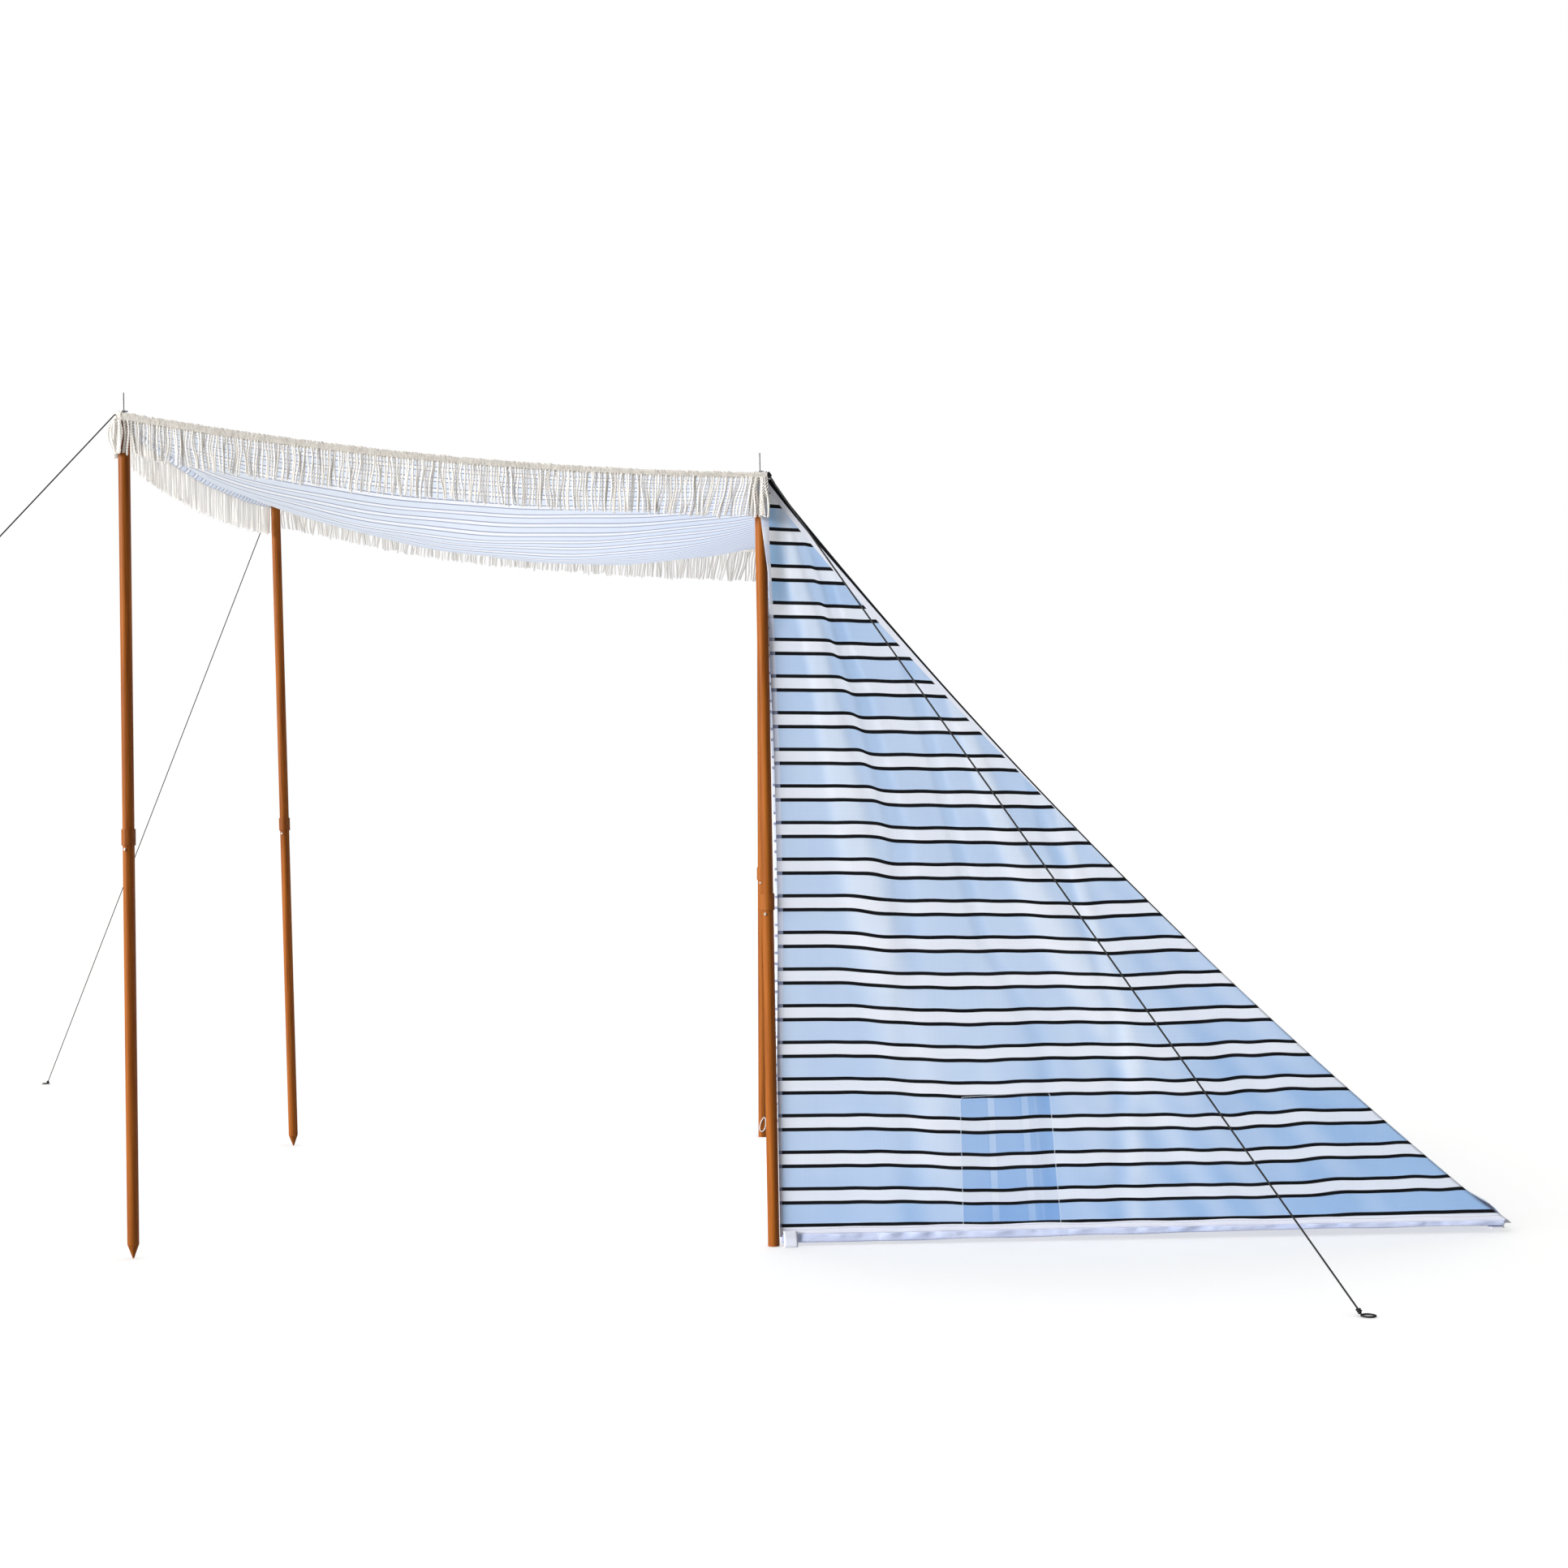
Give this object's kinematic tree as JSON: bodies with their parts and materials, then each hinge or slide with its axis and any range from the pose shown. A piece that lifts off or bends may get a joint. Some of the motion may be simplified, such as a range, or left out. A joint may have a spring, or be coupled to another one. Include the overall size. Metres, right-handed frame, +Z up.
{
  "type": "beach tent",
  "caption": "Sloped-back beach tent in striped cloth with side walls, a groundsheet and a sagging fringed awning on wooden poles held by guy ropes.",
  "frame": {"origin": "on the ground at the middle of the groundsheet's underside, in the tent's plane of symmetry", "axes": "+Z up; -X is the front, where the awning is; +X is the closed sloping back; -Y is the left side"},
  "size_m": [4.0768, 4.7352, 1.85],
  "materials": {
    "pole_wood": "satin varnish",
    "collar_wood": "satin varnish",
    "pin_steel": "plain",
    "button_metal": "plain",
    "striped_cloth": "woven, striped",
    "groundsheet_cloth": "coated cloth",
    "fringe_cotton": "twisted cotton",
    "pocket_cloth": "woven, striped",
    "guy_rope": "braided cord",
    "eyelet_metal": "plain",
    "white_webbing": "webbing",
    "white_cord": "braided cord"
  },
  "bodies": {
    "root": {"front_left_pole_lower": "pole_wood", "front_left_pole_upper": "pole_wood", "front_left_pole_collar": "collar_wood", "front_left_pole_pin": "pin_steel", "front_right_pole_lower": "pole_wood", "front_right_pole_upper": "pole_wood", "front_right_pole_collar": "collar_wood", "front_right_pole_pin": "pin_steel", "middle_left_pole_lower": "pole_wood", "middle_left_pole_upper": "pole_wood", "middle_left_pole_collar": "collar_wood", "middle_left_pole_pin": "pin_steel", "middle_right_pole_lower": "pole_wood", "middle_right_pole_upper": "pole_wood", "middle_right_pole_collar": "collar_wood", "middle_right_pole_pin": "pin_steel", "pole_lock_buttons": "button_metal", "roof_canopy": "striped_cloth", "back_panel": "striped_cloth", "left_side_wall": "striped_cloth", "right_side_wall": "striped_cloth", "groundsheet": "groundsheet_cloth", "left_fringe": "fringe_cotton", "front_fringe": "fringe_cotton", "right_fringe": "fringe_cotton", "left_inner_pocket": "pocket_cloth", "right_inner_pocket": "pocket_cloth", "front_left_guy_rope": "guy_rope", "front_right_guy_rope": "guy_rope", "middle_left_guy_rope": "guy_rope", "middle_right_guy_rope": "guy_rope", "canopy_eyelets": "eyelet_metal", "peg_tabs": "white_webbing", "pole_foot_loops": "white_cord"}
  },
  "joints": []
}
